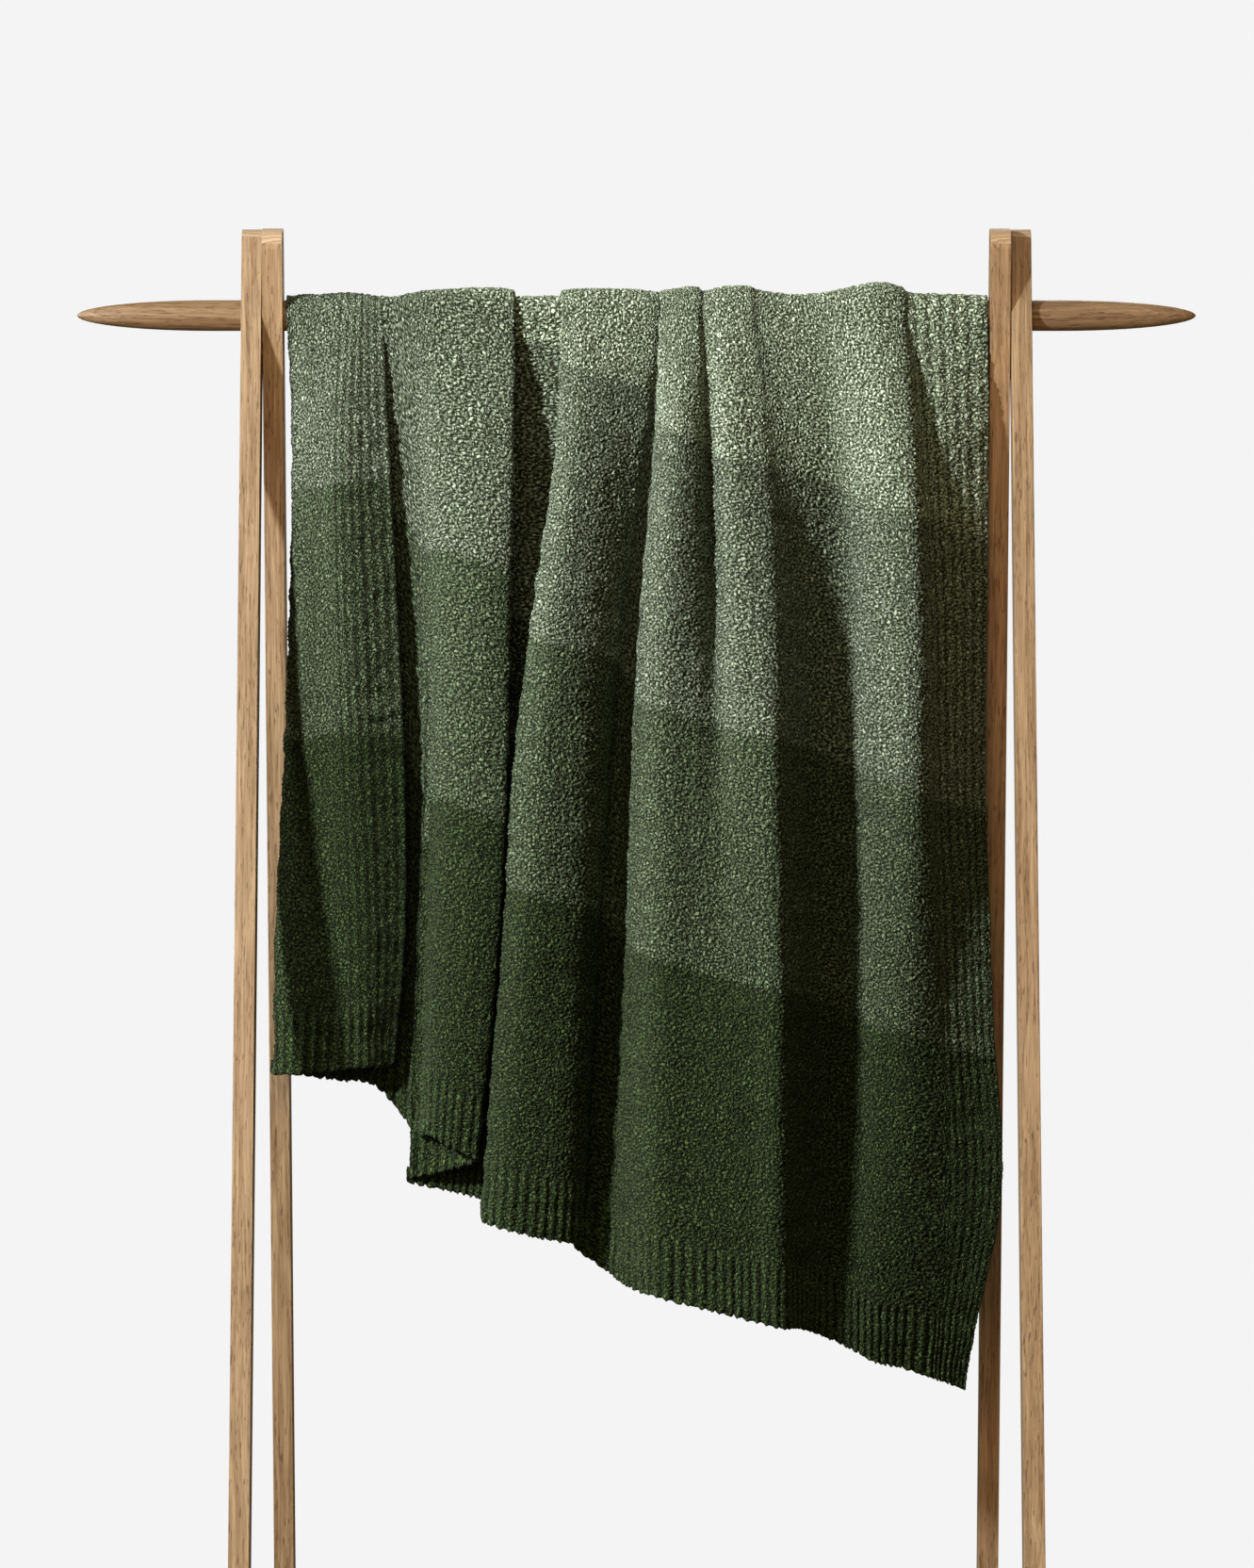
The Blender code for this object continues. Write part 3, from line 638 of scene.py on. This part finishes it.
def chenille_knit():
    """The knit's look on the flat cloth's own metres, stepped in colour from hem to hem."""
    material, tree, shader = new_material("green chenille knit")
    place = add(tree, "UVMap", {"uv_map": "cloth metres"}).outputs[0]
    nubs = add(tree, "Group", {"node_tree": build_nubs()}, Place=place)

    uneven = add(tree, "TexNoise", {}, Vector=place, Scale=130.0, Detail=2.0).outputs[0]
    along = add(tree, "SeparateXYZ", {}, Vector=place).outputs["Y"]
    along = math_node(tree, "MULTIPLY_ADD", math_node(tree, "SUBTRACT", uneven, 0.5), 0.010, along)
    ramp = add(tree, "ValToRGB", {}, Fac=math_node(tree, "DIVIDE", along, THROW_LENGTH))
    stops = ramp.color_ramp.elements
    stops[0].position, stops[0].color = 0.0, solid_colour(BAND_GREENS[0])
    stops[1].position, stops[1].color = 1.0, solid_colour(BAND_GREENS[-1])
    for end, before, after in zip(BAND_ENDS, BAND_GREENS, BAND_GREENS[1:]):
        stops.new(end / THROW_LENGTH - BAND_SOFT).color = solid_colour(before)
        stops.new(end / THROW_LENGTH + BAND_SOFT).color = solid_colour(after)
    yarn = ramp.outputs["Color"]

    # Painted highlight on the tips of the nubs, plain yarn on their sides, and painted shade in the gaps
    # between them.
    raised = add(tree, "Attribute", {"attribute_name": "nub height"}).outputs["Fac"]
    above = math_node(tree, "SUBTRACT", nubs.outputs["Nub"], 0.6)
    raised = math_node(tree, "MULTIPLY_ADD", above, 0.52, raised)
    patchy = add(tree, "TexNoise", {}, Vector=place, Scale=34.0, Detail=2.0).outputs[0]
    lighter = blend_colours(tree, 1.0, yarn, (1.22, 1.20, 1.20, 1), "MULTIPLY")
    patch = spread_range(tree, patchy, 0.3, 0.7, 0.0, 0.4)
    patch = math_node(tree, "MULTIPLY_ADD", nubs.outputs["Tint"], 0.4, patch)
    colour = blend_colours(tree, patch, yarn, lighter)
    # painted highlight: the nub tips much paler than the yarn
    painted_tip_highlight = blend_colours(tree, 1.0, colour, (2.6, 2.5, 2.75, 1), "MULTIPLY")
    colour = blend_colours(tree, spread_range(tree, raised, 0.50, 0.88), colour, painted_tip_highlight)
    # painted shade: the gaps between nubs and cords much darker than the yarn
    painted_gap_shade = blend_colours(tree, 1.0, yarn, (0.13, 0.12, 0.08, 1), "MULTIPLY")
    gap = spread_range(tree, raised, 0.48, 0.20)
    colour = blend_colours(tree, gap, colour, painted_gap_shade)
    tree.links.new(colour, shader.inputs["Base Color"])
    rough = math_node(tree, "MULTIPLY_ADD", gap, 0.08, 0.90)
    tree.links.new(rough, shader.inputs["Roughness"])
    bump = add(tree, "Bump", {}, Strength=0.9, Distance=0.0024, Height=nubs.outputs["Nub"])
    tree.links.new(bump.outputs["Normal"], shader.inputs["Normal"])
    shader.inputs["Specular IOR Level"].default_value = 0.15
    shader.inputs["Sheen Weight"].default_value = 0.04
    shader.inputs["Sheen Roughness"].default_value = 0.6
    shader.inputs["Sheen Tint"].default_value = (0.80, 0.86, 0.74, 1)
    return material


columns, along, knit, outward_way, nub_height = throw_points()
knit = with_turned_edges(knit, outward_way * edge_side(columns))
edge_rows = (knit.shape[1] - len(columns)) // 2
nub_height = np.pad(nub_height, edge_rows, mode="reflect")
throw = bpy.data.objects.new(
    "green_knit_throw", grid_mesh("green knit throw", knit, knit_places(columns, along, edge_rows))
)
scene.collection.objects.link(throw)
# the yarn's height, which the knit's colour turns into painted highlight and painted shade
raised = throw.data.attributes.new("nub height", "FLOAT", "POINT")
raised.data.foreach_set("value", nub_height.reshape(-1).astype(np.float32))
throw.data.materials.append(chenille_knit())
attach(throw, "front_frame")
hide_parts("knit_throw")
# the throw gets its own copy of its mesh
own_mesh(throw)

# --- Studio -------------------------------------------------------------------------------
# A pale floor that runs on into pale air, both evenly bright, so that no corner shows. One small
# lamp at the left does nearly all the work, and folds that face right fall into shade. The others
# are large and soft: they open the shade a little and light the back and the oak.
SWEEP_GREY = 0.904  # how bright the floor and the air look
SWEEP_FILL = 0.125  # how much they light the object
SWEEP_WARM = (1.0, 0.85, 0.51, 1)
PLAIN_WHITE = (1, 1, 1, 1)
FLOOR_HALF = 14.0
LAMP_AIM = (0, 0, 1.40)


def sweep_paper():
    """A floor that looks evenly pale, and gives the object a weak warm light from below."""
    material, tree, shader = new_material("sweep paper")
    shader.inputs["Base Color"].default_value = (0, 0, 0, 1)
    shader.inputs["Roughness"].default_value = 1
    shader.inputs["Specular IOR Level"].default_value = 0
    seen = add(tree, "LightPath").outputs["Is Camera Ray"]
    glow = spread_range(tree, seen, 0, 1, SWEEP_FILL, SWEEP_GREY)
    tree.links.new(glow, shader.inputs["Emission Strength"])
    tint = blend_colours(tree, seen, SWEEP_WARM, PLAIN_WHITE)
    tree.links.new(tint, shader.inputs["Emission Color"])
    return material


floor_mesh = bpy.data.meshes.new("studio floor")
corners = [
    (across * FLOOR_HALF, back * FLOOR_HALF, 0) for across, back in ((-1, -1), (1, -1), (1, 1), (-1, 1))
]
floor_mesh.from_pydata(corners, [], [(0, 1, 2, 3)])
floor = bpy.data.objects.new("studio floor", floor_mesh)
floor.data.materials.append(sweep_paper())
scene.collection.objects.link(floor)

world = bpy.data.worlds.new("studio air")
world.use_nodes = True
scene.world = world
air = world.node_tree
background = air.nodes["Background"]
camera_sees = add(air, "LightPath").outputs["Is Camera Ray"]
air_glow = spread_range(air, camera_sees, 0, 1, SWEEP_FILL, SWEEP_GREY)
air.links.new(air_glow, background.inputs["Strength"])
air_tint = blend_colours(air, camera_sees, SWEEP_WARM, PLAIN_WHITE)
air.links.new(air_tint, background.inputs["Color"])


def studio_lamp(name, azimuth, height, distance, size, watts, colour):
    """A round soft lamp aimed at the cloth, so many degrees left of the camera and above the aim."""
    light = bpy.data.lights.new(name, "AREA")
    light.shape = "DISK"
    light.size = size
    light.energy = watts
    light.color = colour
    lamp = bpy.data.objects.new(name, light)
    a, h = math.radians(azimuth), math.radians(height)
    toward = Vector((-math.sin(a) * math.cos(h), -math.cos(a) * math.cos(h), math.sin(h)))
    lamp.location = Vector(LAMP_AIM) + toward * distance
    lamp.rotation_euler = toward.to_track_quat("Z", "Y").to_euler()
    scene.collection.objects.link(lamp)
    return lamp


studio_lamp("key lamp", 46, 17, 4.4, 0.42, 350, (0.98, 1.0, 1.03))
studio_lamp("side lamp", 74, 14, 4.4, 1.2, 85, (0.98, 1.0, 1.0))
studio_lamp("fill lamp", 10, 8, 6.0, 2.4, 30, (1.0, 0.80, 0.43))
studio_lamp("top lamp", 0, 72, 3.4, 2.0, 34, (1.0, 0.93, 0.80))
studio_lamp("back lamp", -168, 24, 6.0, 3.0, 190, (1.0, 0.97, 0.92))
# A lamp of its own for the oak, as its shaded sides are open and warm while the deep folds stay dark.
rack_lamp = studio_lamp("rack lamp", 2, 4, 6.0, 2.0, 205, (1.0, 0.64, 0.40))
rack = bpy.data.collections.new("rack")
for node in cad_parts.values():
    rack.objects.link(node)
rack_lamp.light_linking.receiver_collection = rack
scene.view_settings.view_transform = "Standard"

# --- Camera -------------------------------------------------------------------------------
# A long lens, level and straight on, at about the height of the middle of the cloth.
CAMERA_PLACE = (-0.0104, -8.9, 0.988)
HALF_VIEW = 0.8653 / 8.9  # half the picture's height over its distance
camera_data = bpy.data.cameras.new("camera")
camera_data.lens = camera_data.sensor_width / 2 / HALF_VIEW
camera_data.clip_end = 100
camera = bpy.data.objects.new("camera", camera_data)
camera.location = CAMERA_PLACE
camera.rotation_euler = (math.radians(90), 0, 0)
scene.collection.objects.link(camera)
scene.camera = camera
